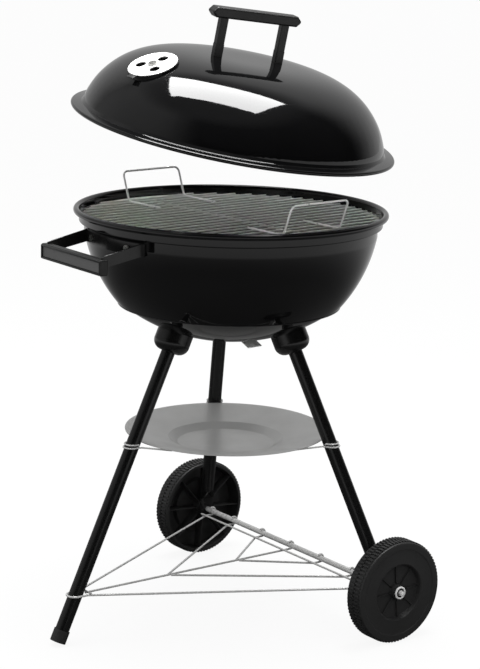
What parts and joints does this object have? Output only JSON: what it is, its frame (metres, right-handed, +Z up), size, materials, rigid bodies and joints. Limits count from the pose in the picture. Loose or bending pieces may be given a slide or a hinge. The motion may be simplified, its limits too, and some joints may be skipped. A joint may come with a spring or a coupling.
{
  "type": "kettle charcoal grill",
  "caption": "Round kettle charcoal grill on three splayed legs with a domed lid, side handle, ash pan, wire rack and a wheeled axle.",
  "frame": {"origin": "on the floor under the middle of the grill's outline", "axes": "+Z up, front leg and side handle towards -Y, axle along X"},
  "size_m": [0.519, 0.5277, 0.8903],
  "materials": {
    "enamel": "high-gloss black vitreous enamel",
    "bracket_enamel": "gloss black powder coat",
    "leg_paint": "semi-gloss black paint",
    "socket_paint": "gloss black paint",
    "damper_steel": "polished",
    "rivet_steel": "polished",
    "bolt_zinc": "zinc plated",
    "axle_steel": "plain drawn steel",
    "grate_chrome": "chrome plated wire",
    "grate_steel": "plated steel wire",
    "zinc_wire": "zinc plated wire",
    "pan_aluminium": "spun and brushed",
    "handle_plastic": "matte moulded phenolic",
    "panel_plastic": "matte",
    "wheel_plastic": "matte moulded",
    "foot_plastic": "matte moulded"
  },
  "bodies": {
    "stand": {"bowl": "enamel", "bowl_damper_rivet": "rivet_steel", "side_handle_bracket": "bracket_enamel", "side_handle_grip": "handle_plastic", "side_handle_panel": "panel_plastic", "side_handle_screws": "bolt_zinc", "side_handle_nuts": "bolt_zinc", "leg_front": "leg_paint", "leg_right": "leg_paint", "leg_left": "leg_paint", "foot_cap": "foot_plastic", "leg_socket_front": "socket_paint", "leg_socket_right": "socket_paint", "leg_socket_left": "socket_paint", "socket_bolts": "bolt_zinc", "socket_nuts": "bolt_zinc", "axle": "axle_steel", "axle_spacers": "bolt_zinc", "axle_push_nuts": "bolt_zinc", "pan_clip_front": "zinc_wire", "pan_clip_right": "zinc_wire", "pan_clip_left": "zinc_wire", "bottom_rack": "zinc_wire"},
    "lid": {"lid_shell": "enamel", "lid_damper_rivet": "rivet_steel", "lid_handle": "handle_plastic", "lid_handle_screws": "bolt_zinc", "lid_handle_standoff_front": "handle_plastic", "lid_handle_standoff_back": "handle_plastic"},
    "lid_damper": {"lid_damper": "damper_steel"},
    "bowl_damper": {"bowl_damper": "damper_steel"},
    "wheel_right": {"wheel_right": "wheel_plastic"},
    "wheel_left": {"wheel_left": "wheel_plastic"},
    "cooking_grate": {"cooking_grate": "grate_chrome", "grate_bails": "grate_chrome"},
    "charcoal_grate": {"charcoal_grate": "grate_steel"},
    "ash_pan": {"ash_pan": "pan_aluminium"}
  },
  "joints": [
    {"name": "lid_lift", "type": "hinge", "parent": "stand", "child": "lid", "pos_m": [0.5464, 0.37853, 0.6563], "axis": [-0.5358, 0.8443, 0], "range_deg": [-10.12, 0]},
    {"name": "lid_damper_turn", "type": "hinge", "parent": "lid", "child": "lid_damper", "pos_m": [0.01086, -0.11486, 0.81123], "axis": [0.128, -0.3628, 0.9231], "range_deg": [0, 60]},
    {"name": "bowl_damper_turn", "type": "hinge", "parent": "stand", "child": "bowl_damper", "pos_m": [0, 0.03177, 0.417], "axis": [0, 0, 1], "range_deg": [-60, 0]},
    {"name": "wheel_right_spin", "type": "hinge", "parent": "stand", "child": "wheel_right", "pos_m": [0.23882, 0.15871, 0.075], "axis": [1, 0, 0], "continuous": true},
    {"name": "wheel_left_spin", "type": "hinge", "parent": "stand", "child": "wheel_left", "pos_m": [-0.23882, 0.15871, 0.075], "axis": [1, 0, 0], "continuous": true},
    {"name": "cooking_grate_lift", "type": "slide", "parent": "stand", "child": "cooking_grate", "axis": [0, 0, 1], "range_m": [0, 0.03]},
    {"name": "charcoal_grate_lift", "type": "slide", "parent": "stand", "child": "charcoal_grate", "axis": [0, 0, 1], "range_m": [0, 0.05]},
    {"name": "ash_pan_lift", "type": "slide", "parent": "stand", "child": "ash_pan", "axis": [0, 0, 1], "range_m": [0, 0.006]}
  ]
}
